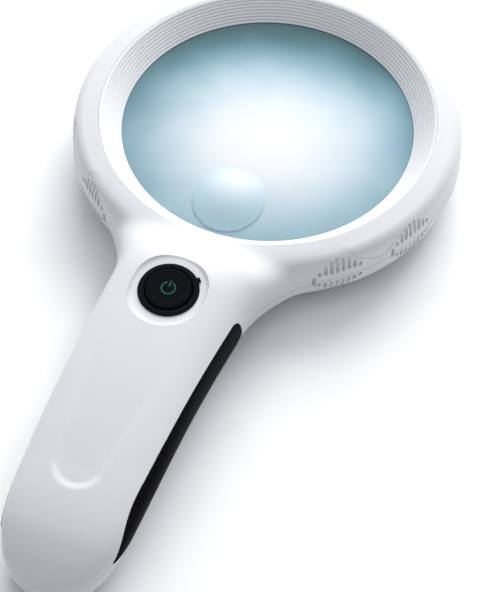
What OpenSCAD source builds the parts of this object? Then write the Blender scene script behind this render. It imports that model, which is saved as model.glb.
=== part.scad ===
// Illuminated hand magnifier: a round head with a bifocal lens, a slim drooping handle
// that holds three AAA cells, a round push button and two soft grip strips.
// Millimetres. The magnifier lies face up: z = 0 is the plane it rests on, +Z is the
// lens axis and the handle runs along -Y.

/* [Lens] */
// Radius of the clear view of the main lens
view_r = 45; // [44:0.5:45.5]
// Height of the lens edge where the bezel meets it
view_z = 17; // [16.5:0.1:17.5]
// Radius of both faces of the main lens
lens_face_r = 180; // [170:5:220]
// Radius of the small high-power lens
inset_r = 11; // [9:0.5:12]
// Distance of the small lens from the lens axis
inset_off = 33; // [28:0.5:33]

/* [Head] */
// Outer radius of the head at its parting line
head_r = 60; // [59.8:0.1:60.5]
// Height of the rim above the rest plane
rim_z = 23.5; // [23.2:0.1:24]
// Radius where the bezel meets the rim
bezel_r = 52; // [51.6:0.1:52.2]
// Number of steps on the bezel
bezel_steps = 9; // [6:1:12]

/* [Handle] */
// Wall thickness of the handle
wall = 2.4; // [2.2:0.1:2.6]
// Part of the side above the parting line that the right grip strip covers
grip_above = 0.42; // [0.36:0.02:0.46]
// Part of the side below the parting line that the right grip strip covers
grip_below = 0.4; // [0.3:0.02:0.42]
// Part of the side above the parting line that the left grip strip covers
left_above = 0.02; // [0:0.02:0.1]
// Part of the side below the parting line that the left grip strip covers
left_below = 0.46; // [0.4:0.02:0.48]
// How far the grip strips are let into the wall
grip_depth = 1.2; // [1:0.1:1.3]
// How far the grip strips stand proud of the wall
grip_proud = 0.3; // [0.1:0.05:0.5]

/* [Button] */
// Radius of the button cap
cap_r = 6.85; // [6.4:0.05:6.9]
// Radius of the collar flange
collar_r = 9.3; // [9:0.1:9.6]
// Travel of the button
travel = 1.2; // [0.8:0.1:1.4]
// Lean of the button towards the end of the handle, in degrees
lean = 7; // [5:0.5:8]

/* [Battery] */
// Radius of one AAA cell
cell_r = 5.25; // [5.1:0.05:5.25]
// Length of one AAA cell with its nub
cell_l = 44.5; // [43.5:0.5:44.5]
// Spacing of the cells
cell_pitch = 10.6; // [10.6:0.05:10.7]

/* [Hidden] */

part_z = 13.5;
far = 200;

// Stations down the neck and handle: y, half width, height of the side line, top, underside
stations = [
    [-47, 36.4, 13.5, 22.6, 0.8],
    [-52, 31.4, 13.5, 23.6, 0.9],
    [-58, 26.8, 13.7, 26.4, 1.4],
    [-65, 23.2, 14.2, 31.0, 2.8],
    [-73, 21.3, 15.2, 33.5, 4.6],
    [-82, 21.0, 16.6, 33.2, 6.2],
    [-96, 20.6, 18.4, 31.8, 7.5],
    [-112, 20.2, 19.6, 29.7, 8.0],
    [-128, 19.9, 19.2, 27.1, 7.8],
    [-140, 19.6, 17.9, 24.8, 6.8],
    [-150, 19.2, 16.6, 22.7, 4.8],
    [-158, 18.6, 14.9, 20.7, 2.6],
    [-165, 17.2, 12.8, 18.2, 0.8],
    [-171, 14.4, 10.4, 14.8, 0],
    [-175, 10.6, 8.6, 11.6, 1.0],
    [-177.8, 5.4, 7.2, 8.9, 3.2],
    [-178.8, 0.8, 6.6, 7.2, 6]
];
n_stations = len(stations);
steps_between = 2;
ring_n = 28;
top_power = 2.6;
// Roundness of the underside, softer where the neck meets the head
under_power = [[-70, 2.6], [-52, 2.0]];
side_line = [for (s = stations) [s[0], s[2]]];

// Main lens
lens_r = view_r + 1;
function sag(r, face) = face - sqrt(face * face - r * r);
lens_top = view_z + sag(view_r, lens_face_r);
lens_edge = 2.5;
lens_under_edge = lens_top - sag(lens_r, lens_face_r) - lens_edge;
lens_bottom = lens_under_edge - sag(lens_r, lens_face_r);
gasket_top = lens_under_edge - 0.8;
gasket_h = 1;
seat_z = gasket_top - gasket_h;
seat_r = lens_r + 0.3;
bezel_seat_z = 16.6;
hood_r = 49.4;

// Small lens
inset_face_r = 24;
inset_lean = asin(inset_off / lens_face_r);
inset_z = lens_top - sag(inset_off, lens_face_r);

// Button, in its own frame: z = 0 is the floor of its dished pocket
button_y = -81;
button_z = 31;
pocket_r = 11.6;
pocket_long = 1.2;
bore_r = cap_r + 0.3;
barrel_r = 8;
barrel_h = 4;
cap_top = 1.35;
cap_low = -5.2;
switch_top = -8;
switch_h = 6;
switch_w = 8.5;
board_top = switch_top - switch_h;
board_h = 1.6;
board_size = [27, 17];
board_boss_x = 11;
plunger_r = 1.6;
plunger_in = 1.8;
plunger_fit = 0.08;
spring_r = 3.2;
spring_wire = 0.2;

// Battery bay
cell_z = 16.1;
bay_front = -92.6;
bay_back = -141.6;
plate_t = 0.4;
cell_front = bay_front - plate_t - 0.2;
door_front = -91.6;
door_back = -143.6;
door_w = 16.3;
door_wall = 1.5;
door_gap = 0.3;

// Screws
head_boss_r = 53.4;
boss_r = 2.9;
screw_r = 1.2;
screw_head_r = 2.2;
screw_head_h = 1.5;
bore_fit = 0.02;
// Each screw: x, y, underside of its head, end of its shank
screws = [
    [head_boss_r * cos(90), head_boss_r * sin(90), 7.2, 19],
    [head_boss_r * cos(22), head_boss_r * sin(22), 7.2, 19],
    [head_boss_r * cos(158), head_boss_r * sin(158), 7.2, 19],
    [16, -67, 9.4, 21],
    [-16, -67, 9.4, 21],
    [0, -161, 5.4, 15]
];

// Light in the head
led_y = -55;
led_z = 7.2;
led_r = 2.4;
led_pitch = 8;
led_lean = 18;
window_size = [26, 6.4];
window_z = 6;

// --- curves -----------------------------------------------------------------

// Value between b and c on a smooth curve through a, b, c and d
function blend(a, b, c, d, t) =
    0.5 * (2 * b + (c - a) * t + (2 * a - 5 * b + 4 * c - d) * t * t
    + (3 * b - a - 3 * c + d) * t * t * t);

function station(i) = stations[max(0, min(n_stations - 1, i))];

// Station at any place u along the handle, u counted in stations
function station_at(u) =
    let (i = min(floor(u), n_stations - 2), t = u - i)
    [for (k = [0:4]) blend(station(i - 1)[k], station(i)[k], station(i + 1)[k], station(i + 2)[k], t)];

function power_of(v, p) = sign(v) * pow(abs(v), 2 / p);

// One cross section, grown by d all round
function ring(u, d) =
    let (
        s = station_at(u),
        end_pull = max(0, min(1, (-150 - s[0]) / 40)),
        w = max(0.4, s[1] + d),
        up = max(0.3, s[3] - s[2] + d),
        down = max(0.3, s[2] - s[4] + d)
    )
    [for (k = [0:ring_n - 1])
        let (a = 360 * k / ring_n, c = cos(a), v = sin(a), p = v >= 0 ? top_power : lookup(s[0], under_power))
        [w * power_of(c, p), s[0] - d * end_pull, s[2] + (v >= 0 ? up : down) * power_of(v, p)]];

// Solid of the neck and handle, grown by d all round
module handle_form(d = 0) {
    n = (n_stations - 1) * steps_between + 1;
    points = [for (i = [0:n - 1]) each ring(i / steps_between, d)];
    sides = [for (i = [0:n - 2], k = [0:ring_n - 1])
        let (a = i * ring_n + k, b = i * ring_n + (k + 1) % ring_n)
        each [[a, b + ring_n, b], [a, a + ring_n, b + ring_n]]];
    first = [for (k = [0:ring_n - 1]) k];
    last = [for (k = [ring_n - 1:-1:0]) (n - 1) * ring_n + k];
    polyhedron(points, concat([first, last], sides), convexity = 6);
}

// Ends of the grip strips along the handle
grip_y0 = -76;
grip_y1 = -165;
grip_n = 24;
// How much more of the side the right strip covers towards its end
grip_swell = 0.36;

// Tube of radius r swept along a list of points
module lead(path, r, sides = 8) {
    n = len(path);
    points = [for (i = [0:n - 1])
        let (
            raw = path[min(i + 1, n - 1)] - path[max(i - 1, 0)],
            t = raw / norm(raw),
            u0 = cross(t, [0.2, 0.1, 1]),
            u = u0 / norm(u0),
            v = cross(t, u)
        )
        each [for (k = [0:sides - 1]) path[i] + r * (cos(360 * k / sides) * u + sin(360 * k / sides) * v)]];
    walls = [for (i = [0:n - 2], k = [0:sides - 1])
        let (a = i * sides + k, b = i * sides + (k + 1) % sides)
        each [[a, b + sides, b], [a, a + sides, b + sides]]];
    first = [for (k = [0:sides - 1]) k];
    last = [for (k = [sides - 1:-1:0]) (n - 1) * sides + k];
    polyhedron(points, concat([first, last], walls), convexity = 4);
}

// Points of a coil that stands on z = 0
function coil(r, h, turns, per_turn = 12) =
    [for (i = [0:turns * per_turn])
        [r * cos(360 * i / per_turn), r * sin(360 * i / per_turn), h * i / (turns * per_turn)]];

// --- shared shapes ------------------------------------------------------------

// Section of the head as if it were solid
module head_section() difference() {
    union() {
        polygon([
            [bezel_r, rim_z], [55.9, 22.8], [59.7, 18.6], [head_r, part_z], [59.8, 10.2], [59.2, 8.6],
            [51.5, 0], [47.5, 0], [43.8, 11], [43, 11], [43, seat_z], [seat_r, seat_z], [seat_r, bezel_seat_z],
            [bezel_r, bezel_seat_z]
        ]);
        translate([55.75, 18.7]) circle(r = 4, $fn = 96);
    }
    translate([0, bezel_seat_z]) square([bezel_r, rim_z]);
}

// Section of the hollow inside the head
module head_hollow_section() {
    polygon([
        [53.4, 20.9], [55.6, 20.6], [57.4, 18.2], [57.8, part_z], [57.4, 10.2], [50.4, 2.4],
        [hood_r, 2.4], [48.3, 14.8], [53.4, 14.8]
    ]);
}

module case_solid() {
    rotate_extrude($fn = 144) head_section();
    difference() {
        handle_form();
        translate([0, 0, -1]) cylinder(r = bezel_r + 1.2, h = 40, $fn = 144);
    }
}

module case_hollow() {
    rotate_extrude($fn = 144) head_hollow_section();
    difference() {
        handle_form(-wall);
        translate([0, 0, -1]) cylinder(r = hood_r, h = 40, $fn = 144);
        translate([0, 0, bezel_seat_z - 1.8]) cylinder(r = bezel_r + 1.4, h = 40, $fn = 144);
    }
}

// Everything above the parting line, which follows the side line down the handle
module above_parting() {
    rotate([90, 0, 90]) translate([0, 0, -far / 2]) linear_extrude(far)
        polygon(concat(
            [[far / 2, part_z], [far / 2, 60], [-far, 60], [-far, stations[n_stations - 1][2]]],
            [for (i = [n_stations - 1:-1:0]) side_line[i]]
        ));
}

// Places children in the button's own frame
module at_button() {
    translate([0, button_y, button_z]) rotate([lean, 0, 0]) children();
}

// Outline of a grip strip, seen from the side. s runs from 0 at the neck to 1 at the end, and
// part is the part of the side that it covers and how much that grows along it.
function grip_reach(s) =
    sqrt(1 - pow(1 - min(s / 0.06, 1), 2)) * (1 - 0.92 * pow(max(0, (s - 0.7) / 0.3), 3.5));
top_line = [for (s = stations) [s[0], s[3]]];
under_line = [for (s = stations) [s[0], s[4]]];
function grip_edge(s, line, part, gap) =
    let (y = grip_y0 + (grip_y1 - grip_y0) * s, z = lookup(y, side_line))
    [y, z + (part[0] + part[1] * s) * grip_reach(s) * (lookup(y, line) - z)
        + sign(lookup(y, line) - z) * max(gap, 0.03)];

// Block of that outline, on the right when side is 1 and on the left when it is -1
module grip_outline(side, gap) {
    over = side > 0 ? [grip_above, grip_swell] : [left_above, 0];
    under = [side > 0 ? grip_below : left_below, 0];
    above = [for (i = [0:grip_n]) grip_edge(i / grip_n, top_line, over, gap)];
    below = [for (i = [grip_n:-1:0]) grip_edge(i / grip_n, under_line, under, gap)];
    mirror([side < 0 ? 1 : 0, 0, 0])
        rotate([90, 0, 90]) linear_extrude(30) polygon(concat(above, below));
}

// Recesses for both grip strips
module grip_recesses() {
    difference() {
        for (side = [-1, 1]) grip_outline(side, 0.1);
        handle_form(-grip_depth);
    }
}

module grip_strip(side) {
    intersection() {
        grip_outline(side, 0);
        difference() {
            handle_form(grip_proud);
            handle_form(-grip_depth);
        }
    }
}

module screw(x, y, z0, z1) {
    translate([x, y, z0 - screw_head_h]) cylinder(r = screw_head_r, h = screw_head_h, $fn = 48);
    translate([x, y, z0 - 0.01]) cylinder(r = screw_r, h = z1 - z0, $fn = 48);
}

// --- housing ----------------------------------------------------------------------

module front_bosses() {
    difference() {
        for (s = screws) {
            foot = s[1] > -60 ? part_z : lookup(s[1], side_line);
            translate([s[0], s[1], foot + 0.01]) cylinder(r = boss_r, h = s[3] + 1.4 - foot, $fn = 48);
        }
        translate([0, 0, bezel_seat_z - 0.4]) cylinder(r = bezel_r + 0.4, h = rim_z, $fn = 144);
    }
    at_button() {
        translate([0, 0, -2.2]) cylinder(r = pocket_r + 0.3, h = 2.3, $fn = 96);
        for (x = [-board_boss_x, board_boss_x])
            translate([x, 0, board_top]) cylinder(r = 2, h = -board_top - 1, $fn = 48);
    }
}

module front_shell() color("whitesmoke") difference() {
    union() {
        intersection() {
            difference() {
                case_solid();
                case_hollow();
            }
            above_parting();
        }
        front_bosses();
    }
    at_button() {
        cylinder(r = pocket_r, h = 12, $fn = 96);
        for (y = [-pocket_long, pocket_long])
            translate([0, y, 0.4]) cylinder(r = pocket_r, h = 12, $fn = 96);
        translate([0, 0, -6]) cylinder(r = barrel_r + 0.1, h = 20, $fn = 96);
        for (x = [-board_boss_x, board_boss_x])
            translate([x, 0, board_top - 1]) cylinder(r = 1 + bore_fit, h = 7, $fn = 48);
    }
    for (s = screws) translate([s[0], s[1], s[2]])
        cylinder(r = screw_r + bore_fit, h = s[3] - s[2] + 0.2, $fn = 48);
    grip_recesses();
}

module back_bosses() {
    for (s = screws) {
        top = s[1] > -60 ? part_z : lookup(s[1], side_line);
        translate([s[0], s[1], s[2] - 1.4]) cylinder(r = boss_r, h = top - s[2] + 1.39, $fn = 48);
    }
}

module door_outline(gap) {
    translate([-door_w - gap, door_back - gap, -1])
        cube([2 * (door_w + gap), door_front - door_back + 2 * gap, 16]);
}

module back_shell() color("white") difference() {
    union() {
        difference() {
            case_solid();
            case_hollow();
            above_parting();
        }
        back_bosses();
    }
    for (s = screws) {
        translate([s[0], s[1], s[2] - 0.01])
            cylinder(r = screw_r + bore_fit, h = far, $fn = 48);
        translate([s[0], s[1], -1])
            cylinder(r = screw_head_r + 0.3, h = s[2] + 1, $fn = 48);
    }
    door_outline(door_gap);
    grip_recesses();
    translate([-window_size[0] / 2, -52, window_z - window_size[1] / 2])
        cube([window_size[0], 10, window_size[1]]);
}

module battery_door() color("gainsboro") intersection() {
    difference() {
        handle_form();
        handle_form(-door_wall);
    }
    door_outline(0);
}

module case_screws() color("silver") for (s = screws) screw(s[0], s[1], s[2], s[3]);

module right_grip() color("black") grip_strip(1);

module left_grip() color("black") grip_strip(-1);

// --- lenses and bezel ------------------------------------------------------------------

module main_lens() color("lightblue", 0.6) intersection() {
    translate([0, 0, lens_bottom - 1]) cylinder(r = lens_r, h = lens_top - lens_bottom + 2, $fn = 144);
    translate([0, 0, lens_top - lens_face_r]) sphere(r = lens_face_r, $fn = 300);
    translate([0, 0, lens_bottom + lens_face_r]) sphere(r = lens_face_r, $fn = 300);
}

module inset_lens() color("lightcyan", 0.6) difference() {
    translate([0, -inset_off, inset_z]) rotate([inset_lean, 0, 0]) intersection() {
        translate([0, 0, -1]) cylinder(r = inset_r, h = 6, $fn = 96);
        translate([0, 0, sag(inset_r, inset_face_r) - inset_face_r]) sphere(r = inset_face_r, $fn = 96);
    }
    translate([0, 0, lens_top - lens_face_r]) sphere(r = lens_face_r, $fn = 300);
}

module bezel_ring() color("white") {
    step_r = (bezel_r - 0.4 - view_r) / bezel_steps;
    step_z = (rim_z - 0.1 - view_z - 0.1) / bezel_steps;
    stairs = [for (i = [0:bezel_steps - 1]) each [
        [view_r + i * step_r, view_z + 0.1 + (i + 0.35) * step_z],
        [view_r + (i + 0.6) * step_r, view_z + 0.1 + (i + 0.9) * step_z]
    ]];
    rotate_extrude($fn = 144) polygon(concat(
        [[view_r, view_z + 0.1]],
        stairs,
        [[bezel_r - 0.4, rim_z - 0.1], [bezel_r - 0.1, rim_z - 0.1], [bezel_r - 0.1, bezel_seat_z + 0.1],
        [lens_r + 0.1, bezel_seat_z + 0.1], [lens_r + 0.1, view_z + 0.1]]
    ));
}

module lens_gasket() color("dimgray") translate([0, 0, seat_z]) difference() {
    cylinder(r = lens_r, h = gasket_h, $fn = 144);
    translate([0, 0, -1]) cylinder(r = view_r - 1.6, h = gasket_h + 2, $fn = 144);
}

// --- light in the head -----------------------------------------------------------------------

module led_window() color("azure", 0.7) intersection() {
    rotate_extrude($fn = 144) polygon([[46.7, 2.6], [48.2, 2.6], [46.0, 9.4], [44.5, 9.4]]);
    translate([-window_size[0] / 2 + 0.1, -52, window_z - window_size[1] / 2 + 0.1])
        cube([window_size[0] - 0.2, 10, window_size[1] - 0.2]);
}

module at_leds() {
    translate([0, led_y, led_z]) rotate([-90 - led_lean, 0, 0]) children();
}

module leds() color("white") at_leds() for (i = [-1:1]) translate([i * led_pitch, 0, 0]) {
    translate([0, 0, 0.1]) cylinder(r = led_r + 0.3, h = 0.9, $fn = 48);
    translate([0, 0, 0.9]) cylinder(r = led_r, h = 2, $fn = 48);
    intersection() {
        translate([0, 0, 2.8]) sphere(r = led_r, $fn = 48);
        translate([0, 0, 2.8]) cylinder(r = led_r + 1, h = 5, $fn = 48);
    }
}

module led_board() color("darkgreen") at_leds()
    translate([-11.2, -3.2, -1.2]) cube([22.4, 5.6, 1.2]);

module led_leads() color("red") for (x = [-5, 5])
    lead([
        [x, -58, 9.2], [x, -60, 10], [x * 1.1, -62.5, 11.5], [x * 1.2, -65, 13],
        [x * 1.2, -68, 14.6], [x * 1.2, -70.5, 15.4], [x * 1.2, -72.2, 15.5]
    ], 0.65);

// --- button and switch ---------------------------------------------------------------------------

module button_collar() color("black") at_button() difference() {
    union() {
        cylinder(r = collar_r, h = 0.6, $fn = 96);
        translate([0, 0, 0.6]) cylinder(r1 = collar_r, r2 = collar_r - 0.4, h = 0.35, $fn = 96);
        translate([0, 0, -barrel_h]) cylinder(r = barrel_r, h = barrel_h + 0.2, $fn = 96);
        rotate([0, 0, 40]) translate([collar_r - 0.6, -0.8, 0]) cube([1.3, 1.6, 0.9]);
    }
    translate([0, 0, -barrel_h - 1]) cylinder(r = bore_r, h = barrel_h + 4, $fn = 96);
}

module button_cap() color([0.1, 0.1, 0.1]) at_button() difference() {
    union() {
        translate([0, 0, cap_low]) cylinder(r = cap_r, h = cap_top - cap_low - 0.35, $fn = 96);
        translate([0, 0, cap_top - 0.35]) cylinder(r1 = cap_r, r2 = cap_r - 0.5, h = 0.35, $fn = 96);
        translate([0, 0, cap_low]) cylinder(r = cap_r + 0.9, h = 1, $fn = 96);
    }
    translate([0, 0, cap_low - 1]) cylinder(r = cap_r - 1.4, h = 2.6, $fn = 96);
    translate([0, 0, cap_top - 0.2]) power_outline(0.02);
}

// Power symbol: an open ring with a bar through its gap
module power_outline(gap = 0) {
    linear_extrude(1) {
        difference() {
            circle(r = 2.3 + gap, $fn = 64);
            circle(r = 1.75 - gap, $fn = 64);
            translate([-0.85 + gap, 0]) square([1.7 - 2 * gap, 4]);
        }
        translate([-0.26 - gap, 0.5 - gap]) square([0.52 + 2 * gap, 2.1 + 2 * gap]);
    }
}

module power_mark() color("seagreen") at_button() intersection() {
    translate([0, 0, cap_top - 0.2]) power_outline();
    cylinder(r = 4, h = cap_top, $fn = 48);
}

module switch_plunger() color("ivory") at_button() {
    translate([0, 0, cap_low + 0.4]) cylinder(r = cap_r - 1.6, h = 1.1, $fn = 96);
    translate([0, 0, switch_top - plunger_in])
        cylinder(r = plunger_r, h = cap_low + 0.5 - switch_top + plunger_in, $fn = 64);
}

module button_spring() color("silver") at_button()
    translate([0, 0, switch_top + spring_wire])
        lead(coil(spring_r, cap_low + 0.4 - switch_top - 2 * spring_wire - 0.05, 3), spring_wire, 6);

module switch_body() color("dimgray") at_button() difference() {
    translate([-switch_w / 2, -switch_w / 2, board_top]) cube([switch_w, switch_w, switch_h]);
    translate([0, 0, switch_top - plunger_in - travel - 1])
        cylinder(r = plunger_r + plunger_fit, h = plunger_in + travel + 2, $fn = 64);
}

module main_board() color("darkgreen") at_button() difference() {
    translate([-board_size[0] / 2, -board_size[1] / 2, board_top - board_h])
        cube([board_size[0], board_size[1], board_h]);
    for (x = [-board_boss_x, board_boss_x])
        translate([x, 0, board_top - board_h - 1]) cylinder(r = 1.15, h = board_h + 2, $fn = 48);
}

module resistors() color("tan") at_button() for (y = [6.2, -6.6])
    translate([-3, y, board_top + 1.25]) rotate([0, 90, 0]) cylinder(r = 1.15, h = 6, $fn = 48);

module board_screws() color("silver") at_button() for (x = [-board_boss_x, board_boss_x]) {
    translate([x, 0, board_top - board_h - 1.3]) cylinder(r = 1.9, h = 1.3, $fn = 48);
    translate([x, 0, board_top - board_h - 0.01]) cylinder(r = 1, h = board_h + 5.5, $fn = 48);
}

// --- battery bay ---------------------------------------------------------------------------------

module cell(flip) {
    body = cell_l - 1;
    y0 = flip ? bay_back + plate_t + 0.2 : cell_front;
    turn = flip ? -90 : 90;
    translate([0, y0, cell_z]) rotate([turn, 0, 0]) {
        cylinder(r = 1.9, h = 1.02, $fn = 48);
        translate([0, 0, 1]) cylinder(r = cell_r, h = body, $fn = 96);
    }
}

module cell_1() color("orange") translate([-cell_pitch, 0, 0]) cell(false);

module cell_2() color("orange") cell(true);

module cell_3() color("orange") translate([cell_pitch, 0, 0]) cell(false);

module battery_holder() color("darkslategray") difference() {
    intersection() {
        handle_form(-wall - 0.2);
        union() {
            translate([-16, bay_front, 10.4]) cube([32, 1.2, 14]);
            translate([-16, bay_back - 1.2, 10.4]) cube([32, 1.2, 14]);
            translate([-16, bay_back - 0.1, cell_z + 3.4]) cube([32, bay_front - bay_back + 0.2, 2.3]);
        }
    }
    for (i = [-1:1]) translate([i * cell_pitch, bay_front, cell_z])
        rotate([90, 0, 0]) cylinder(r = cell_r + 0.15, h = bay_front - bay_back, $fn = 96);
}

module contact_plates() color("gold") {
    for (x = [-cell_pitch, 0, cell_pitch]) {
        translate([x - 4.6, bay_front - plate_t, cell_z - 4]) cube([9.2, plate_t, 7]);
        translate([x - 4.6, bay_back, cell_z - 4]) cube([9.2, plate_t, 7]);
    }
    translate([0, bay_front - plate_t, cell_z - 1]) cube([cell_pitch, plate_t, 2]);
    translate([-cell_pitch, bay_back, cell_z - 1]) cube([cell_pitch, plate_t, 2]);
}

module contact_springs() color("silver") {
    h = bay_front - bay_back - 2 * plate_t - cell_l - 0.2;
    for (x = [-cell_pitch, cell_pitch])
        translate([x, bay_back + plate_t, cell_z]) rotate([-90, 0, 0])
            translate([0, 0, 0.25]) lead(coil(2.9, h - 0.55, 3), 0.25, 6);
    translate([0, bay_front - plate_t, cell_z]) rotate([90, 0, 0])
        translate([0, 0, 0.25]) lead(coil(2.9, h - 0.55, 3), 0.25, 6);
}

module battery_leads() color("red") for (x = [-1, 1])
    lead([
        [12 * x, -91.2, 14.5], [12 * x, -90.4, 14.2], [11.6 * x, -89.2, 13.7],
        [10.5 * x, -87.6, 13.4], [9 * x, -86, 13.5], [8 * x, -84.8, 14], [7.6 * x, -84.2, 14.3]
    ], 0.65);

front_shell();
back_shell();
bezel_ring();
main_lens();
inset_lens();
lens_gasket();
led_window();
led_board();
leds();
led_leads();
button_collar();
button_cap();
power_mark();
switch_plunger();
button_spring();
switch_body();
main_board();
resistors();
board_screws();
battery_holder();
cell_1();
cell_2();
cell_3();
contact_plates();
contact_springs();
battery_leads();
battery_door();
case_screws();
left_grip();
right_grip();
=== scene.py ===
import math

import bmesh
import bpy
import numpy as np
from mathutils import Matrix, Vector


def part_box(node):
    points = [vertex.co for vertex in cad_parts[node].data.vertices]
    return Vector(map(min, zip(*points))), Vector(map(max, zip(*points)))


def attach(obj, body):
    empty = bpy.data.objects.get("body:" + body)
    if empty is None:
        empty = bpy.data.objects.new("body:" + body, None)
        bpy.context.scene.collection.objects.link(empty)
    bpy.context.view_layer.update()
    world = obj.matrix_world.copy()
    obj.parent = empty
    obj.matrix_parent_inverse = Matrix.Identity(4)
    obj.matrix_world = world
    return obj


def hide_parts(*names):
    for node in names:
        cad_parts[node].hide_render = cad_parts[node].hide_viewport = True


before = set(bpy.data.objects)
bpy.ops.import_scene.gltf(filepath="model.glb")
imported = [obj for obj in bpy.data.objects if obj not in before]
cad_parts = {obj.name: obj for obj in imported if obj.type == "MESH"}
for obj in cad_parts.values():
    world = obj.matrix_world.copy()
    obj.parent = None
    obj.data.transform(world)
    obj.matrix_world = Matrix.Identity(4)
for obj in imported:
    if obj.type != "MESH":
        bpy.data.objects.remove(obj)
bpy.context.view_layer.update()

MM = 0.001
HEAD_R = 60.0
RIM_Z = 23.5
PART_Z = 13.5
BEZEL_R = 52.0
SHOULDER_R = 55.75
SHOULDER_Z = 18.7
SHOULDER_ROUND = 4
WALL = 2.4
SECTION_POWER = 2.6
NECK_POWER = 2.0
SKIN_GRID = 0.5
# y, half width, height of the side line, top, underside
STATIONS = [
    (-47, 36.4, 13.5, 22.6, 0.8), (-52, 31.4, 13.5, 23.6, 0.9), (-58, 26.8, 13.7, 26.4, 1.4),
    (-65, 23.2, 14.2, 31.0, 2.8), (-73, 21.3, 15.2, 33.5, 4.6), (-82, 21.0, 16.6, 33.2, 6.2),
    (-96, 20.6, 18.4, 31.8, 7.5), (-112, 20.2, 19.6, 29.7, 8.0), (-128, 19.9, 19.2, 27.1, 7.8),
    (-140, 19.6, 17.9, 24.8, 6.8), (-150, 19.2, 16.6, 22.7, 4.8), (-158, 18.6, 14.9, 20.7, 2.6),
    (-165, 17.2, 12.8, 18.2, 0.8), (-171, 14.4, 10.4, 14.8, 0.0), (-175, 10.6, 8.6, 11.6, 1.0),
    (-177.8, 5.4, 7.2, 8.9, 3.2), (-178.8, 0.8, 6.6, 7.2, 6.0),
]


def handle_lines(steps):
    """Rows of y, half width, side line, top and underside, on a smooth curve through the stations."""
    s = np.array([STATIONS[0], *STATIONS, STATIONS[-1]], float)
    rows = []
    for i in range(1, len(s) - 2):
        a, b, c, d = s[i - 1:i + 3]
        for t in np.arange(steps) / steps:
            rows.append(b + 0.5 * t * (c - a + t * (2 * a - 5 * b + 4 * c - d
                                                    + t * (3 * b - a - 3 * c + d))))
    rows.append(s[-2])
    return np.array(rows)


LINES = handle_lines(24)


def line_at(y, column):
    """Value of one column of LINES at y."""
    return np.interp(-np.asarray(y, float), -LINES[:, 0], LINES[:, column])


def under_power(y):
    """Roundness of the underside, softer where the neck meets the head."""
    return np.interp(y, [-70, -52], [SECTION_POWER, NECK_POWER])


def piece_of(bm, name):
    """Turns a bmesh into an object with its doubles merged and its faces outward."""
    bmesh.ops.remove_doubles(bm, verts=bm.verts, dist=0.0005)
    bmesh.ops.recalc_face_normals(bm, faces=bm.faces)
    mesh = bpy.data.meshes.new(name)
    bm.to_mesh(mesh)
    bm.free()
    made = bpy.data.objects.new(name, mesh)
    bpy.context.scene.collection.objects.link(made)
    return made


def fixed(piece):
    """Applies the modifiers of a piece to its mesh."""
    shown = piece.evaluated_get(bpy.context.evaluated_depsgraph_get())
    mesh = bpy.data.meshes.new_from_object(shown)
    piece.modifiers.clear()
    old = piece.data
    piece.data = mesh
    bpy.data.meshes.remove(old)


def joined(piece, tool, how="DIFFERENCE", keep=False):
    """Cuts, joins or crosses a piece with a tool piece, which is then thrown away unless kept."""
    step = piece.modifiers.new("shape", "BOOLEAN")
    step.solver = "MANIFOLD"
    step.operation = how
    step.object = tool
    fixed(piece)
    if not keep:
        bpy.data.objects.remove(tool)
    return piece


def copied(piece, name):
    twin = bpy.data.objects.new(name, piece.data.copy())
    bpy.context.scene.collection.objects.link(twin)
    return twin


def turned(profile, name, steps=256, ring=False):
    """Solid of revolution about the lens axis from points (radius, height)."""
    bm = bmesh.new()
    points = [bm.verts.new((r, 0, z)) for r, z in profile]
    pairs = list(zip(points, points[1:])) + ([(points[-1], points[0])] if ring else [])
    edges = [bm.edges.new(pair) for pair in pairs]
    bmesh.ops.spin(bm, geom=points + edges, cent=(0, 0, 0), axis=(0, 0, 1), angle=2 * math.pi,
                   steps=steps, use_merge=True)
    return piece_of(bm, name)


def eased(points, reach, closed=False, count=4):
    """Points of an outline with each corner rounded over a distance along its sides."""
    out = []
    last = len(points) - 1
    for i, corner in enumerate(points):
        if not closed and i in (0, last):
            out.append(corner)
            continue
        p = Vector(corner)
        a, b = Vector(points[i - 1]), Vector(points[(i + 1) % len(points)])
        one = p + (a - p).normalized() * min(reach, (a - p).length * 0.45)
        two = p + (b - p).normalized() * min(reach, (b - p).length * 0.45)
        for k in range(count + 1):
            t = k / count
            out.append(tuple(one * (1 - t) ** 2 + p * 2 * t * (1 - t) + two * t * t))
    return out


def arc(x, z, radius, start, stop, count=12):
    """Points along an arc, its angles in degrees."""
    turns = [math.radians(start + (stop - start) * k / count) for k in range(count + 1)]
    return [(x + radius * math.cos(a), z + radius * math.sin(a)) for a in turns]


def handle_loft(name, grow=0.0, ring=96, steps=8):
    """Closed loft through the handle's cross sections, grown all round."""
    def root(v, power):
        return math.copysign(abs(v) ** (2 / power), v)

    bm = bmesh.new()
    loops = []
    for y, half, side, top, under in handle_lines(steps):
        verts = bmesh.ops.create_circle(bm, cap_ends=False, segments=ring, radius=1)["verts"]
        end_pull = min(max((-150 - y) / 40, 0), 1)
        for v in verts:
            power = SECTION_POWER if v.co.y >= 0 else under_power(y)
            rise = max(0.3, (top - side if v.co.y >= 0 else side - under) + grow)
            v.co = (max(0.4, half + grow) * root(v.co.x, power), y - grow * end_pull,
                    side + rise * root(v.co.y, power))
        loops.append(list({e for v in verts for e in v.link_edges}))
    for one, two in zip(loops, loops[1:]):
        bmesh.ops.bridge_loops(bm, edges=one + two)
    bmesh.ops.holes_fill(bm, edges=[e for e in bm.edges if e.is_boundary], sides=0)
    return piece_of(bm, name)


HEAD_PROFILE = (
    [(0, RIM_Z), (BEZEL_R, RIM_Z)] + arc(SHOULDER_R, SHOULDER_Z, SHOULDER_ROUND, 86, 4) + [(HEAD_R, PART_Z)]
    + [(59.8, 10.2), (59.2, 8.6), (51.5, 0), (0, 0)]
)


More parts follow.
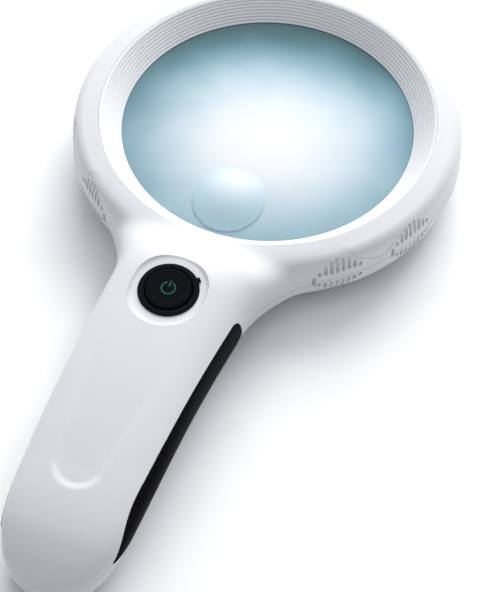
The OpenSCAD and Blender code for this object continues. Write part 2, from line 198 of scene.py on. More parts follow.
def head_gap(co):
    """Distance of points outside the head's outline."""
    p = np.array(HEAD_PROFILE)
    along = np.diff(p, axis=0)
    out = np.stack([-along[:, 1], along[:, 0]], 1) / np.linalg.norm(along, axis=1)[:, None]
    flat = np.stack([np.hypot(co[:, 0], co[:, 1]), co[:, 2]], 1)
    return np.max([(flat - p[i]) @ out[i] for i in range(len(out))], axis=0)


def handle_gap(co):
    """Distance of points outside the handle's cross section."""
    half, side, top, under = [line_at(co[:, 1], k) for k in (1, 2, 3, 4)]
    rise = np.where(co[:, 2] >= side, top - side, side - under)
    u, v = np.abs(co[:, 0]) / half, np.abs(co[:, 2] - side) / rise
    p = np.where(co[:, 2] >= side, SECTION_POWER, under_power(co[:, 1]))
    size = np.maximum((u ** p + v ** p) ** (1 / p), 1e-6)
    slope = size ** (1 - p) * np.hypot(u ** (p - 1) / half, v ** (p - 1) / rise)
    return (size - 1) / np.maximum(slope, 1e-3)


def points_of(piece):
    co = np.empty(len(piece.data.vertices) * 3)
    piece.data.vertices.foreach_get("co", co)
    return co.reshape(-1, 3)


def softened(piece, weights, rounds):
    """Smooths a piece where the weights say, and nowhere else."""
    group = piece.vertex_groups.new(name="soft")
    for i in np.flatnonzero(weights > 0.02):
        group.add([int(i)], float(weights[i]), "REPLACE")
    step = piece.modifiers.new("soften", "SMOOTH")
    step.factor = 0.5
    step.iterations = rounds
    step.vertex_group = "soft"
    fixed(piece)
    piece.vertex_groups.clear()


form = joined(turned(HEAD_PROFILE, "form"), handle_loft("handle"), "UNION")
skin = form.modifiers.new("skin", "REMESH")
skin.mode = "VOXEL"
skin.voxel_size = SKIN_GRID
even = form.modifiers.new("even", "SMOOTH")
even.factor = 0.5
even.iterations = 4
fixed(form)
at = points_of(form)
crease = np.maximum(np.abs(head_gap(at)), np.abs(handle_gap(at)))
softened(form, np.where(at[:, 1] < -40, np.clip(1.25 - crease / 7, 0, 1), 0), 150)

# Thumb rest: a shallow tongue on top of the handle, deepest at its rounded end.
REST_END = -150.5
REST_R = 7.2
REST_DEPTH = 0.85
REST_SPREAD = 0.12
REST_AT = -2.0
REST_DRIFT = 0.03
at = points_of(form)
x, y, z = at.T
bend = y - (REST_END + REST_R)
across = x - REST_AT - REST_DRIFT * np.maximum(bend, 0)
reach = np.hypot(across, np.minimum(bend, 0)) - REST_R - REST_SPREAD * np.maximum(bend, 0)
lip = np.interp(y, [REST_END, REST_END + 10], [3.2, 1.8])
fall = np.clip(-reach / lip + 0.5, 0, 1)
fade = np.clip((-104 - y) / 40, 0, 1) ** 1.3
sunk = REST_DEPTH * fade * fall ** 2 * (3 - 2 * fall)
z -= np.where(z > line_at(y, 2) + 1, sunk, 0)
form.data.vertices.foreach_set("co", at.ravel())
form.data.update()

# --- White ABS --------------------------------------------------------------
# Satin injection-moulded ABS, almost white: a fine spark texture over faint flow
# marks. The housings and the battery door are moulded in it; the bezel gets a lighter copy,
# its white painted brighter to stand in for light its shaded steps lack.


def blank_look(name, colour, roughness):
    """A material with its colour and roughness set, and its nodes at hand."""
    look = bpy.data.materials.new(name)
    look.use_nodes = True
    nodes = look.node_tree.nodes
    nodes.clear()
    out = nodes.new("ShaderNodeOutputMaterial")
    face = nodes.new("ShaderNodeBsdfPrincipled")
    face.inputs["Base Color"].default_value = (*colour, 1)
    face.inputs["Roughness"].default_value = roughness
    look.node_tree.links.new(face.outputs["BSDF"], out.inputs["Surface"])
    look.diffuse_color = (*colour, 1)
    return look, nodes, look.node_tree.links.new, face


def noise_on(nodes, link, scale, detail=3.0, stretch=(1, 1, 1)):
    """Noise in object space: scale counts its grains per metre."""
    where = nodes.new("ShaderNodeTexCoord")
    turn = nodes.new("ShaderNodeMapping")
    turn.inputs["Scale"].default_value = stretch
    grain = nodes.new("ShaderNodeTexNoise")
    grain.inputs["Scale"].default_value = scale
    grain.inputs["Detail"].default_value = detail
    link(where.outputs["Object"], turn.inputs["Vector"])
    link(turn.outputs["Vector"], grain.inputs["Vector"])
    return grain.outputs["Fac"]


def ranged(nodes, link, source, low, high, start=0.3, stop=0.7):
    """Maps a grey value to a range."""
    spread = nodes.new("ShaderNodeMapRange")
    for socket, value in (("From Min", start), ("From Max", stop), ("To Min", low), ("To Max", high)):
        spread.inputs[socket].default_value = value
    link(source, spread.inputs["Value"])
    return spread.outputs["Result"]


def tinted(nodes, link, source, low, high, start=0.35, stop=0.65):
    """Colours a grey value between two colours."""
    ramp = nodes.new("ShaderNodeValToRGB")
    ramp.color_ramp.elements[0].position = start
    ramp.color_ramp.elements[0].color = (*low, 1)
    ramp.color_ramp.elements[1].position = stop
    ramp.color_ramp.elements[1].color = (*high, 1)
    link(source, ramp.inputs["Fac"])
    return ramp.outputs["Color"]


def bumped(nodes, link, face, source, strength, depth):
    """Raises the surface by a grey value, depth in metres."""
    bump = nodes.new("ShaderNodeBump")
    bump.inputs["Strength"].default_value = strength
    bump.inputs["Distance"].default_value = depth
    link(source, bump.inputs["Height"])
    link(bump.outputs["Normal"], face.inputs["Normal"])


def moulded(name, colour, roughness, grain=1800, depth=0.00003, shift=0.03, gloss=0.5):
    """Moulded plastic: faint flow marks in its colour and a spark texture in its surface."""
    look, nodes, link, face = blank_look(name, colour, roughness)
    face.inputs["Specular IOR Level"].default_value = gloss
    flow = noise_on(nodes, link, 28, 2.0)
    low = [c * (1 - shift) for c in colour]
    high = [min(1, c * (1 + shift)) for c in colour]
    link(tinted(nodes, link, flow, low, high), face.inputs["Base Color"])
    spark = noise_on(nodes, link, grain, 2.0)
    link(ranged(nodes, link, spark, roughness * 0.88, roughness * 1.12), face.inputs["Roughness"])
    bumped(nodes, link, face, spark, 0.5, depth)
    return look


def settle(piece, look, body, slot, *nodes, sharp=32):
    """Brings a finished piece to metres, gives it its look and hands it to the frame."""
    piece.data.transform(Matrix.Scale(MM, 4))
    piece.data.polygons.foreach_set("use_smooth", [True] * len(piece.data.polygons))
    piece.data.set_sharp_from_angle(angle=math.radians(sharp))
    piece.data.materials.clear()
    piece.data.materials.append(look)
    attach(piece, body)
    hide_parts(*nodes)


def dress(look, *names):
    """Gives CAD nodes their look."""
    for name in names:
        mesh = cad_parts[name].data
        mesh.materials.clear()
        mesh.materials.append(look)


white = moulded("white_abs", (0.74, 0.745, 0.765), 0.42, shift=0.012)

# --- Back housing -----------------------------------------------------------
# The lower white moulding: the hood round the lens well, the underside of the
# handle and its screw bosses. It stops at the parting line, a hair below the front.
SEAM = 0.08
HEAD_BOSS_R = 53.4
# Place of each screw, the seat of its head and its tip
SCREWS = [(HEAD_BOSS_R * math.cos(math.radians(a)), HEAD_BOSS_R * math.sin(math.radians(a)), 7.2, 19)
          for a in (90, 22, 158)] + [(16, -67, 9.4, 21), (-16, -67, 9.4, 21), (0, -161, 5.4, 15)]
BOSS_R = 2.9
BOSS_FLOOR = 1.4
COUNTERBORE_R = 2.5
SCREW_HOLE_R = 1.25
# Half width, back end and front end of the battery door
DOOR = (16.3, -143.6, -91.6)
DOOR_GAP = 0.25
DOOR_WALL = 1.5
GRIP_ENDS = (-76, -165)
# Reach of each grip strip above and below the parting line, as parts of the side, and how
# much the upper part grows towards the end
GRIP_REACH = {1: (0.42, 0.4, 0.36), -1: (0.02, 0.46, 0)}
GRIP_ROUND = 0.06
GRIP_TAPER = 0.7
HOOD_R = 49.4
RIM_FLOOR = 14.8
HOLLOW_R = 53.4
LEDGE_R = 43
LEDGE_Z = 12.44
LENS_WELL_R = 46.3
BEZEL_SEAT_Z = 16.6


def rod(name, places, steps=32):
    """Upright rods as one piece, each (x, y, radius, bottom, top)."""
    bm = bmesh.new()
    for px, py, radius, low, high in places:
        bmesh.ops.create_cone(bm, cap_ends=True, segments=steps, radius1=radius, radius2=radius,
                              depth=high - low,
                              matrix=Matrix.Translation((px, py, (low + high) / 2)))
    return piece_of(bm, name)


def above_parting(shift):
    """Everything above the parting line, which follows the handle's side line."""
    bm = bmesh.new()
    rows = LINES[::6]
    outline = [(100, PART_Z), (100, 60), (-200, 60), (-200, rows[-1][2])]
    outline += [(row[0], row[2]) for row in rows[::-1]]
    face = bm.faces.new([bm.verts.new((-90, yy, zz + (shift if zz < 60 else 0)))
                         for yy, zz in outline])
    made = bmesh.ops.extrude_face_region(bm, geom=[face])["geom"]
    bmesh.ops.translate(bm, verts=[v for v in made if isinstance(v, bmesh.types.BMVert)],
                        vec=(180, 0, 0))
    return piece_of(bm, "above")


def hollow():
    """The space inside the case."""
    ring = turned([(HOLLOW_R, 20.9), (55.6, 20.6), (57.4, 18.2), (57.8, PART_Z), (57.4, 10.2),
                   (50.4, WALL), (HOOD_R, WALL), (48.3, RIM_FLOOR), (HOLLOW_R, RIM_FLOOR)],
                  "hollow", ring=True)
    inner = handle_loft("inner", -WALL, ring=64, steps=4)
    joined(inner, rod("hood", [(0, 0, HOOD_R, -1, 60)], 160))
    joined(inner, rod("rim", [(0, 0, HOLLOW_R, RIM_FLOOR, 60)], 160))
    return joined(ring, inner, "UNION")


def boss_foot(y):
    """Height of the parting line at a boss."""
    return float(line_at(y, 2)) if y < -60 else PART_Z


def lens_well():
    """The stepped bore through the head: hood, gasket seat, lens seat and bezel seat."""
    return turned([(0, -2), (47.5, -2), (47.5, 0), (43.8, 11), (LEDGE_R, 11), (LEDGE_R, LEDGE_Z),
                   (LENS_WELL_R, LEDGE_Z), (LENS_WELL_R, BEZEL_SEAT_Z), (BEZEL_R, BEZEL_SEAT_Z),
                   (BEZEL_R, 30), (0, 30)], "well", steps=288)


def box(name, low, high, ease=0.0):
    """A block between two corners, its edges eased."""
    bm = bmesh.new()
    bmesh.ops.create_cube(bm, size=1)
    size = Vector(high) - Vector(low)
    bmesh.ops.scale(bm, vec=size, verts=bm.verts)
    bmesh.ops.translate(bm, vec=(Vector(low) + Vector(high)) / 2, verts=bm.verts)
    if ease:
        bmesh.ops.bevel(bm, geom=bm.edges[:], offset=ease, segments=4, profile=0.5,
                        affect="EDGES", material=-1)
    return piece_of(bm, name)


def grip_patch(name, proud, thick, grow, side, tuck=0.0):
    """A strip along the handle's side: wide and round at the neck, drawn out to a point."""
    start, stop = GRIP_ENDS[0] + grow, GRIP_ENDS[1] - grow
    above, below, swell = GRIP_REACH[side]
    bm = bmesh.new()
    bmesh.ops.create_grid(bm, x_segments=120, y_segments=16, size=1)
    for v in bm.verts:
        s, across = (v.co.x + 1) / 2, v.co.y
        s = s ** 1.6
        reach = math.sqrt(1 - (1 - min(s / GRIP_ROUND, 1)) ** 2)
        reach *= 1 - 0.92 * max(0, (s - GRIP_TAPER) / (1 - GRIP_TAPER)) ** 3.5
        yy = start + (stop - start) * s
        half, level, top, under = [float(line_at(yy, k)) for k in (1, 2, 3, 4)]
        room = (top - level) if across > 0 else (level - under)
        part = (above + swell * s if across > 0 else below) * reach
        rise = (part * room + grow + 0.02) * across
        power = SECTION_POWER if across > 0 else float(under_power(yy))
        width = (1 - min(abs(rise) / room, 0.98) ** power) ** (1 / power)
        v.co = (side * (half * width + proud - tuck * across ** 6), yy, level + rise)
    bmesh.ops.remove_doubles(bm, verts=bm.verts, dist=0.002)
    bmesh.ops.recalc_face_normals(bm, faces=bm.faces)
    outward = sum(f.normal.x * f.calc_area() for f in bm.faces) * side
    if outward < 0:
        bmesh.ops.reverse_faces(bm, faces=bm.faces)
    bmesh.ops.solidify(bm, geom=bm.faces[:], thickness=thick)
    return piece_of(bm, name)


inside = hollow()
door = copied(form, "battery_lid")
above_line = above_parting(-SEAM)
back = joined(copied(form, "back_housing"), above_line)
back = joined(back, inside, keep=True)
for px, py, low, high in SCREWS:
    joined(back, rod("boss", [(px, py, BOSS_R, low - BOSS_FLOOR, boss_foot(py) - SEAM)]), "UNION")
joined(back, lens_well())
joined(back, rod("counterbores", [(px, py, COUNTERBORE_R, -2, low)
                                 for px, py, low, high in SCREWS], 48))
joined(back, rod("shank_holes", [(px, py, SCREW_HOLE_R, low - 1, 30)
                                for px, py, low, high in SCREWS]))
joined(back, box("door_way", (-DOOR[0] - DOOR_GAP, DOOR[1] - DOOR_GAP, -9),
                 (DOOR[0] + DOOR_GAP, DOOR[2] + DOOR_GAP, 17), ease=2))
joined(back, box("lamp_way", (-13, -52, 2.8), (13, -42, 9.2)))

# --- Front housing ----------------------------------------------------------
# The upper white moulding with the rim, the neck's raised saddle, the dished button
# pocket and the thumb rest. Leaf-shaped sets of finger ribs straddle the parting
# line on both sides of the head, joined by a fine groove.
BUTTON_PLACE = (0, -81, 31)
BUTTON_LEAN = 7
BUTTON_AT = (Matrix.Translation(BUTTON_PLACE)
             @ Matrix.Rotation(math.radians(BUTTON_LEAN), 4, "X"))
POCKET_R = 11.6
POCKET_LONG = 1.2
LEAVES = ((-53.8, -41.2), (-28.2, -15.6))
RIB_COUNT = 8


def on_button(piece):
    """Moves a piece made in the button's own frame to its place on the neck."""
    piece.data.transform(BUTTON_AT)
    return piece


def pocket():
    """The dished oval in front of the button, flared at its lip."""
    profile = [(0, 0), (POCKET_R - 1.8, 0)] + arc(POCKET_R - 1.8, 2.2, 2.2, -90, -18, 6)[1:]
    profile += [(POCKET_R + 1.0, 2.6), (POCKET_R + 2.1, 3.4), (POCKET_R + 4, 4.3),
                (POCKET_R + 4, 12), (0, 12)]
    tool = turned(profile, "pocket", steps=160)
    for v in tool.data.vertices:
        v.co.y += math.copysign(POCKET_LONG, v.co.y) * min(1, abs(v.co.y) / 4)
    return on_button(tool)


def side_radius(level):
    """Radius of the head's side wall at a height."""
    if level > SHOULDER_Z:
        return SHOULDER_R + math.sqrt(SHOULDER_ROUND ** 2 - (level - SHOULDER_Z) ** 2)
    return HEAD_R - 0.045 * abs(level - PART_Z)


def slot(bm, angle, low, high, width=0.64, deep=1.3):
    """One upright rib groove in the head's side: a stretched ball."""
    verts = bmesh.ops.create_uvsphere(bm, u_segments=14, v_segments=10, radius=width)["verts"]
    stretch = max(0, (high - low) / 2 - width)
    turn = math.radians(angle)
    for v in verts:
        v.co.z += math.copysign(stretch, v.co.z) if abs(v.co.z) > 1e-6 else 0
        level = (low + high) / 2 + v.co.z
        out = side_radius(level) + v.co.x * deep / width
        v.co = (out * math.cos(turn) - v.co.y * math.sin(turn),
                out * math.sin(turn) + v.co.y * math.cos(turn), level)


def rib_slots():
    """All the rib grooves: above and below the parting line, right and left."""
    bm = bmesh.new()
    for start, stop in LEAVES:
        for k in range(RIB_COUNT):
            t = k / (RIB_COUNT - 1)
            tall = 1.7 + 3.6 * math.sin(math.pi * t ** 0.9)
            turn = start + (stop - start) * t
            for angle in (turn, -180 - turn):
                slot(bm, angle, 16.0, 16.0 + tall)
                slot(bm, angle, 12.8 - tall * 0.75, 12.8)
        for angle in (start - 1.7, -178.3 - start):
            slot(bm, angle, 12.4, 16.2)
    return piece_of(bm, "rib_slots")


# Angle and height of the wave that runs over one set of ribs, down to the parting line and up again
WAVE = [(-51, 20.6), (-46, 20.9), (-43, 19.9), (-40, 18.4), (-37, 16.8), (-34.4, 15.7),
        (-32.4, 16.4), (-30.6, 17.8), (-28.4, 19.5), (-25.5, 20.5), (-22, 20.6)]


def wave(side):
    """A fine round groove along the wave."""
    bm = bmesh.new()
    loops = []
    spots = []
    for angle, level in WAVE:
        turn = math.radians(angle if side > 0 else -180 - angle)
        out = side_radius(level) + 0.05
        spots.append(Vector((out * math.cos(turn), out * math.sin(turn), level)))
    for k, spot in enumerate(spots):
        along = spots[min(k + 1, len(spots) - 1)] - spots[max(k - 1, 0)]
        thin = 0.06 if k in (0, len(spots) - 1) else 0.26
        turn = Matrix.Translation(spot) @ along.to_track_quat("Z", "X").to_matrix().to_4x4()
        verts = bmesh.ops.create_circle(bm, segments=10, radius=thin, matrix=turn)["verts"]
        loops.append(list({e for v in verts for e in v.link_edges}))
    for one, two in zip(loops, loops[1:]):
        bmesh.ops.bridge_loops(bm, edges=one + two)
    bmesh.ops.holes_fill(bm, edges=[e for e in bm.edges if e.is_boundary], sides=0)
    return piece_of(bm, "wave")


joined(form, above_parting(SEAM), "INTERSECT")
front = form
for side in (1, -1):
    joined(front, wave(side))
front.name = "front_housing"
joined(front, inside, keep=True)
for px, py, low, high in SCREWS:
    joined(front, rod("post", [(px, py, BOSS_R, boss_foot(py) + SEAM, high + BOSS_FLOOR)]), "UNION")
pad = rod("pad", [(0, 0, POCKET_R + 0.3, -2.2, 0.1)], 96)
joined(front, on_button(pad), "UNION")
joined(front, lens_well())
joined(front, pocket())
joined(front, on_button(rod("collar_bore", [(0, 0, 8.1, -6, 14)], 96)))
joined(front, rod("pilot_holes", [(px, py, SCREW_HOLE_R, low, high + 0.2)
                                 for px, py, low, high in SCREWS]))
ribs = rib_slots()
for housing in (front, back):
    joined(housing, ribs, keep=True)
    for side in (1, -1):
        joined(housing, grip_patch("grip_way", 2.0, 3.2, 0.1, side))
bpy.data.objects.remove(ribs)
bpy.data.objects.remove(inside)
settle(back, white, "body", "white_shell", "back_shell")
settle(front, white, "body", "white_shell", "front_shell")

# --- Lamp in the head -------------------------------------------------------
# Three clear light-emitting diodes stand on a small green board behind a frosted
# window in the hood wall; two thin red leads run back to the switch board.
board_green, nodes, link, face = blank_look("board_green", (0.05, 0.22, 0.1), 0.35)
tracks = noise_on(nodes, link, 420, 1.0, stretch=(1, 0.15, 1))
link(tinted(nodes, link, tracks, (0.03, 0.16, 0.07), (0.09, 0.34, 0.15), 0.49, 0.53),
     face.inputs["Base Color"])
bumped(nodes, link, face, tracks, 0.4, 0.00004)
face.inputs["Coat Weight"].default_value = 0.4
dress(board_green, "led_board", "main_board")

clear_epoxy, nodes, link, face = blank_look("clear_epoxy", (0.93, 0.95, 0.9), 0.06)
haze = noise_on(nodes, link, 900, 1.0)
link(ranged(nodes, link, haze, 0.04, 0.1), face.inputs["Roughness"])
face.inputs["Alpha"].default_value = 0.75
face.inputs["IOR"].default_value = 1.55
dress(clear_epoxy, "leds")

frosted, nodes, link, face = blank_look("frosted_acrylic", (0.88, 0.94, 0.97), 0.4)
frost = noise_on(nodes, link, 2600, 1.0)
link(ranged(nodes, link, frost, 0.3, 0.5), face.inputs["Roughness"])
bumped(nodes, link, face, frost, 0.6, 0.00003)
face.inputs["Alpha"].default_value = 0.6
dress(frosted, "led_window")

lead_red = moulded("lead_red", (0.55, 0.03, 0.02), 0.4, grain=900, shift=0.08)
dress(lead_red, "led_leads", "battery_leads")

# --- Switch -----------------------------------------------------------------
# A black push switch with an ivory plunger and a wire return spring sits on the main
# board with two resistors; two small screws hold the board to the front housing.
black_abs = moulded("black_abs", (0.022, 0.023, 0.026), 0.45, shift=0.15)
ivory = moulded("ivory_acetal", (0.72, 0.68, 0.56), 0.38, shift=0.03)
tan_lacquer = moulded("tan_lacquer", (0.62, 0.45, 0.27), 0.3, grain=700, shift=0.1)


def metal(name, colour, roughness, stretch):
    """Bright metal with fine drawn or turned marks."""
    look, nodes, link, face = blank_look(name, colour, roughness)
    face.inputs["Metallic"].default_value = 1.0
    marks = noise_on(nodes, link, 1500, 3.0, stretch=stretch)
    link(ranged(nodes, link, marks, roughness * 0.7, roughness * 1.3), face.inputs["Roughness"])
    low = [c * 0.88 for c in colour]
    link(tinted(nodes, link, marks, low, colour), face.inputs["Base Color"])
    bumped(nodes, link, face, marks, 0.3, 0.00002)
    return look


spring_wire = metal("spring_wire", (0.72, 0.72, 0.74), 0.22, (1, 1, 0.2))
zinc = metal("zinc_steel", (0.62, 0.63, 0.66), 0.3, (1, 1, 0.3))
brass = metal("contact_brass", (0.82, 0.68, 0.38), 0.28, (1, 0.2, 1))
dress(black_abs, "switch_body", "battery_holder")
dress(ivory, "switch_plunger")
dress(tan_lacquer, "resistors")
dress(spring_wire, "button_spring", "contact_springs")
dress(zinc, "board_screws")
dress(brass, "contact_plates")

# --- Batteries --------------------------------------------------------------
# Three AAA cells lie side by side in a black frame. Each has a plain printed jacket,
# dark with a copper band at the positive end, and a bare steel nub.
CELL_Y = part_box("cell_1")
jacket, nodes, link, face = blank_look("cell_jacket", (0.05, 0.055, 0.065), 0.3)
where = nodes.new("ShaderNodeTexCoord")
split = nodes.new("ShaderNodeSeparateXYZ")
link(where.outputs["Object"], split.inputs["Vector"])
bands = nodes.new("ShaderNodeMapRange")
bands.inputs["From Min"].default_value = CELL_Y[0].y
bands.inputs["From Max"].default_value = CELL_Y[1].y
link(split.outputs["Y"], bands.inputs["Value"])
link(tinted(nodes, link, bands.outputs["Result"], (0.05, 0.055, 0.065), (0.6, 0.3, 0.12), 0.72, 0.725),
     face.inputs["Base Color"])
link(ranged(nodes, link, noise_on(nodes, link, 160), 0.24, 0.36), face.inputs["Roughness"])
face.inputs["Metallic"].default_value = 0.6
face.inputs["Coat Weight"].default_value = 0.6
dress(jacket, "cell_1", "cell_2", "cell_3")

# --- Lenses -----------------------------------------------------------------
# The main lens is biconvex acrylic, drawn nearly opaque and blue-green, with a painted
# highlight in its middle and painted shade towards its edge. The small strong lens is a cap
# bonded to its upper face, with a painted highlight of its own. The main lens drops on to a
# soft dark ring in the well.
LENS_R = 46.0
FACE_R = 180.0
LENS_TOP = 22.715
LENS_LOW = 8.26
SMALL_R = 11.0
SMALL_FACE_R = 24.0
SMALL_AT = 33.0


def sag(r, radius):
    return radius - math.sqrt(radius * radius - r * r)


def dome(radius, reach, top, count=20):
    """Points down a domed face from its middle to its edge."""
    return [(reach * k / count, top - sag(reach * k / count, radius)) for k in range(count + 1)]


lower_face = [(r, 2 * LENS_LOW - z) for r, z in dome(FACE_R, LENS_R, LENS_LOW)]
lens = turned(dome(FACE_R, LENS_R, LENS_TOP) + lower_face[::-1], "lens", steps=192)
small_top = sag(SMALL_R, SMALL_FACE_R)
small = turned(dome(SMALL_FACE_R, SMALL_R, small_top, 16) + [(SMALL_R, -0.3)]
               + list(reversed([(r, z + 0.02) for r, z in dome(FACE_R, SMALL_R, 0, 6)])),
               "small_lens", steps=96)
small.data.transform(Matrix.Translation((0, -SMALL_AT, LENS_TOP - sag(SMALL_AT, FACE_R)))
                     @ Matrix.Rotation(math.asin(SMALL_AT / FACE_R), 4, "X"))


def acrylic(name, centre, reach, squeeze, turn, stops, alpha):
    """Nearly opaque acrylic: a painted highlight and painted shade as a gradient, not refracted light."""
    look, nodes, link, face = blank_look(name, (0.8, 0.9, 0.95), 0.03)
    where = nodes.new("ShaderNodeTexCoord")
    place = nodes.new("ShaderNodeMapping")
    place.vector_type = "TEXTURE"
    place.inputs["Location"].default_value = (centre[0] * MM, centre[1] * MM, 0)
    place.inputs["Rotation"].default_value = (0, 0, math.radians(turn))
    place.inputs["Scale"].default_value = (reach * squeeze * MM, reach * MM, 1)
    link(where.outputs["Object"], place.inputs["Vector"])
    flat = nodes.new("ShaderNodeVectorMath")
    flat.operation = "MULTIPLY"
    flat.inputs[1].default_value = (1, 1, 0)
    link(place.outputs["Vector"], flat.inputs[0])
    far = nodes.new("ShaderNodeVectorMath")
    far.operation = "LENGTH"
    link(flat.outputs["Vector"], far.inputs[0])
    cloud = noise_on(nodes, link, 45, 2.0)
    add = nodes.new("ShaderNodeMath")
    add.operation = "MULTIPLY_ADD"
    add.inputs[1].default_value = 0.16
    link(cloud, add.inputs[0])
    link(far.outputs["Value"], add.inputs[2])
    ramp = nodes.new("ShaderNodeValToRGB")
    ramp.color_ramp.interpolation = "B_SPLINE"
    for k, (spot, colour) in enumerate(stops):
        stop = ramp.color_ramp.elements[k] if k < 2 else ramp.color_ramp.elements.new(spot)
        stop.position = spot
        stop.color = (*colour, 1)
    link(add.outputs["Value"], ramp.inputs["Fac"])
    link(ramp.outputs["Color"], face.inputs["Base Color"])
    face.inputs["IOR"].default_value = 1.49
    face.inputs["Alpha"].default_value = alpha
    face.inputs["Coat Weight"].default_value = 0.5
    face.inputs["Coat Roughness"].default_value = 0.02
    look.surface_render_method = "BLENDED"
    return look


# Painted light: a near-white painted highlight at the middle, fading through blue-green to painted shade at
# the edge.
LENS_PAINTED_LIGHT_STOPS = [(0.24, (0.98, 0.99, 1.0)), (1.0, (0.055, 0.115, 0.13)), (0.4, (0.82, 0.9, 0.94)),
              (0.56, (0.54, 0.69, 0.77)), (0.72, (0.3, 0.46, 0.54)), (0.86, (0.13, 0.26, 0.31))]
clear = acrylic("acrylic_painted_light", (3.2, -9.5), 56, 1.15, 20.6, LENS_PAINTED_LIGHT_STOPS, 0.88)
# Painted light: the small lens's painted highlight sits off its middle and fades to blue-green.
SMALL_PAINTED_LIGHT_STOPS = [(0.1, (0.98, 0.99, 1.0)), (1.0, (0.42, 0.62, 0.71)), (0.25, (0.84, 0.92, 0.96)),
               (0.55, (0.6, 0.77, 0.84))]
small_clear = acrylic("acrylic_painted_light_small", (0.6, -26.5), 19, 1.2, 20.6, SMALL_PAINTED_LIGHT_STOPS, 0.9)
settle(lens, clear, "body", "lens", "main_lens", sharp=40)
settle(small, small_clear, "body", "lens", "inset_lens", sharp=60)

foam, nodes, link, face = blank_look("seat_foam", (0.03, 0.03, 0.033), 0.85)
cells = noise_on(nodes, link, 1400, 2.0)
link(tinted(nodes, link, cells, (0.018, 0.018, 0.02), (0.05, 0.05, 0.055)), face.inputs["Base Color"])
bumped(nodes, link, face, cells, 0.8, 0.0001)
dress(foam, "lens_gasket")

# --- Bezel ------------------------------------------------------------------
# A white ring presses into the head and holds the lens down. Nine fine steps climb
# from the lens edge to the rim.
VIEW_R = 45.0
VIEW_Z = 17.1
STEPS = 9
BEZEL_PLAY = 0.08
step_out = (BEZEL_R - 0.4 - VIEW_R) / STEPS
step_up = (RIM_Z - 0.1 - VIEW_Z) / STEPS
stairs = []
for k in range(STEPS):
    stairs += [(VIEW_R + k * step_out, VIEW_Z + (k + 0.3) * step_up),
               (VIEW_R + (k + 1) * step_out, VIEW_Z + (k + 1) * step_up)]
outline = [(VIEW_R, VIEW_Z - 0.05)] + stairs
outline += [(BEZEL_R - BEZEL_PLAY, RIM_Z - 0.1), (BEZEL_R - BEZEL_PLAY, BEZEL_SEAT_Z + 0.1),
            (LENS_R + 0.1, BEZEL_SEAT_Z + 0.1), (LENS_R + 0.1, VIEW_Z - 0.05)]
bezel = turned(eased(outline, 0.1, closed=True, count=2), "bezel", steps=288, ring=True)
# Painted light: a lighter copy of the white ABS, brightened to stand in for light on the bezel's shaded
# steps.
painted_lit_white = moulded("painted_lit_white_abs", (0.87, 0.875, 0.89), 0.5, shift=0.012)
settle(bezel, painted_lit_white, "body", "white_shell", "bezel_ring", sharp=50)

# --- Button -----------------------------------------------------------------
# A black collar clips into the oval pocket, keyed by a small tab. The round cap
# slides in it on the switch plunger and carries a dark green power symbol.
COLLAR_R = 9.15
CAP_R = 6.85
black_gloss = moulded("black_collar", (0.006, 0.007, 0.009), 0.34, grain=1500, shift=0.2, gloss=0.12)
black_cap = moulded("black_cap", (0.004, 0.005, 0.006), 0.4, grain=1500, shift=0.2, gloss=0.1)
collar = turned(eased([(CAP_R + 0.3, -4), (8, -4), (8, 0), (COLLAR_R, 0), (COLLAR_R, 0.4),
                       (COLLAR_R - 0.75, 0.8), (CAP_R + 0.75, 0.8), (CAP_R + 0.3, 0.45)],
                      0.22, closed=True), "collar", steps=144, ring=True)
tab = box("tab", (COLLAR_R - 0.6, -0.8, 0.02), (COLLAR_R + 0.7, 0.8, 0.85), ease=0.2)
tab.data.transform(Matrix.Rotation(math.radians(40), 4, "Z"))
settle(on_button(joined(collar, tab, "UNION")), black_gloss, "body", "black_plastic",
       "button_collar")
cap = turned(eased([(0, 1.27), (4.9, 1.27), (5.7, 1.4), (6.45, 1.38), (CAP_R, 1.0), (CAP_R, -4.2),
                    (CAP_R + 0.9, -4.2), (CAP_R + 0.9, -5.2), (5.45, -5.2), (5.45, -3.6), (0, -3.6)],
                   0.3), "cap", steps=144)
settle(on_button(cap), black_cap, "button", "black_plastic", "button_cap")
green = moulded("green_ink", (0.012, 0.08, 0.048), 0.4, grain=900, shift=0.1)
dress(green, "power_mark")

# --- Grips ------------------------------------------------------------------
# Soft black rubber strips are let into both sides of the handle. Their faces are
# crowned and finely pitted, and their edges tuck into the housings.
rubber, nodes, link, face = blank_look("soft_rubber", (0.005, 0.005, 0.006), 0.7)
face.inputs["Specular IOR Level"].default_value = 0.06
pits = noise_on(nodes, link, 1300, 2.0)
link(tinted(nodes, link, pits, (0.003, 0.003, 0.004), (0.007, 0.007, 0.008)), face.inputs["Base Color"])
bumped(nodes, link, face, pits, 0.6, 0.00006)
for side, name in ((1, "right"), (-1, "left")):
    strip = grip_patch(name + "_strip", 0.2, 1.3, 0, side, tuck=0.3)
    settle(strip, rubber, "body", "grip_rubber", name + "_grip", sharp=50)

# --- Battery door -----------------------------------------------------------
# A white lid closes the underside of the handle. It follows the handle's curve and
# has five thumb grooves at its front end.
joined(door, box("lid_block", (-DOOR[0], DOOR[1], -9), (DOOR[0], DOOR[2], 17), ease=2), "INTERSECT")
joined(door, handle_loft("lid_inside", -DOOR_WALL, ring=64, steps=4))
GROOVES = 5
GROOVE_R = 0.7
bm = bmesh.new()
for k in range(GROOVES):
    ball = bmesh.ops.create_uvsphere(bm, u_segments=16, v_segments=8, radius=GROOVE_R)["verts"]
    groove_y = DOOR[2] - 6 - 2.2 * k
    for v in ball:
        v.co.x += math.copysign(5 - 0.6 * k, v.co.x) if abs(v.co.x) > 1e-6 else 0
        v.co += Vector((0, groove_y, float(line_at(groove_y, 4)) - 0.2))
joined(door, piece_of(bm, "thumb_grooves"))
settle(door, white, "door", "white_shell", "battery_door")

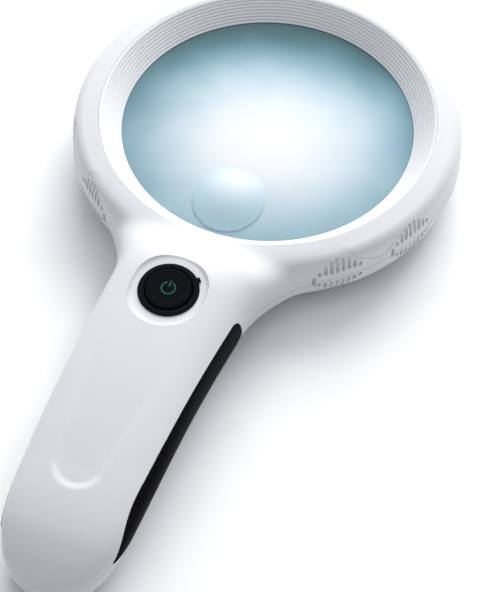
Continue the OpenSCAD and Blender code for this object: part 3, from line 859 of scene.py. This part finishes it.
# --- Screws -----------------------------------------------------------------
# Six zinc-plated steel screws with cross heads stand in counterbores from below. They run
# through the back housing into the front one's bosses and pull the two together.
SCREW_HEAD_R = 2.2
SCREW_HEAD_H = 1.5
SHANK_R = 1.2
BLANK_LENGTH = 10
bm = bmesh.new()
one = turned(eased([(0, 0), (1.6, 0.05), (SCREW_HEAD_R, 0.5), (SCREW_HEAD_R, SCREW_HEAD_H),
                    (SHANK_R, SCREW_HEAD_H), (SHANK_R, BLANK_LENGTH), (0, BLANK_LENGTH + 0.4)],
                   0.15), "screw", steps=40)
for turn in (0, 90):
    blade = box("blade", (-1.15, -0.24, -0.5), (1.15, 0.24, 0.9), ease=0.08)
    blade.data.transform(Matrix.Rotation(math.radians(turn + 20), 4, "Z"))
    joined(one, blade)
for px, py, low, high in SCREWS:
    start = len(bm.verts)
    bm.from_mesh(one.data)
    bm.verts.ensure_lookup_table()
    for v in bm.verts[start:]:
        if v.co.z > 5:
            v.co.z += high - low - BLANK_LENGTH + SCREW_HEAD_H
        v.co += Vector((px, py, low - SCREW_HEAD_H))
bpy.data.objects.remove(one)
settle(piece_of(bm, "screws"), zinc, "body", "screw_steel", "case_screws")

# --- Camera, floor and light ------------------------------------------------
# The magnifier lies face up on a plain pale floor. A soft box behind it and a wide soft
# light above give the gentle fall of light down the handle.
# Azimuth, elevation and roll in degrees
VIEW = (20.6, 50.95, 0.95)
DISTANCE = 1.1
LOOK_AT = Vector((0.01753, -0.06406, 0.017))
az, el, roll = [math.radians(v) for v in VIEW]
backward = Vector((math.sin(az) * math.cos(el), -math.cos(az) * math.cos(el), math.sin(el)))
right = Vector((math.cos(az), math.sin(az), 0))
up = backward.cross(right)
turned_right = right * math.cos(roll) + up * math.sin(roll)
turned_up = up * math.cos(roll) - right * math.sin(roll)
camera = bpy.data.objects.new("camera", bpy.data.cameras.new("camera"))
camera.data.lens = 225.4
camera.data.sensor_width = 36
camera.matrix_world = Matrix.Translation(LOOK_AT + backward * DISTANCE) @ Matrix(
    (turned_right, turned_up, backward)).transposed().to_4x4()
bpy.context.scene.collection.objects.link(camera)
bpy.context.scene.camera = camera

floor_bm = bmesh.new()
bmesh.ops.create_grid(floor_bm, x_segments=2, y_segments=2, size=4)
floor = piece_of(floor_bm, "floor")
floor_look, nodes, link, face = blank_look("pale_floor", (0.94, 0.94, 0.94), 0.8)
paper = noise_on(nodes, link, 90, 3.0)
link(tinted(nodes, link, paper, (0.93, 0.93, 0.93), (0.95, 0.95, 0.95)), face.inputs["Base Color"])
floor.data.materials.append(floor_look)


def soft_lamp(name, place, aim, size, power):
    lamp = bpy.data.lights.new(name, "AREA")
    lamp.shape = "RECTANGLE"
    lamp.size, lamp.size_y = size
    lamp.energy = power
    made = bpy.data.objects.new(name, lamp)
    made.location = place
    made.rotation_euler = (Vector(place) - Vector(aim)).to_track_quat("Z", "Y").to_euler()
    bpy.context.scene.collection.objects.link(made)
    return made


key = soft_lamp("softbox", (-0.1, 1.25, 0.95), (0, -0.03, 0), (1.4, 1.0), 34)
key.visible_glossy = False
overhead = soft_lamp("overhead", (0, 0.1, 1.9), (0, 0, 0), (2.2, 2.2), 14)
overhead.visible_glossy = False
world = bpy.data.worlds.new("studio")
world.use_nodes = True
world.node_tree.nodes["Background"].inputs["Color"].default_value = (0.88, 0.92, 1.0, 1)
world.node_tree.nodes["Background"].inputs["Strength"].default_value = 0.3
bpy.context.scene.world = world
bpy.context.scene.view_settings.view_transform = "Standard"
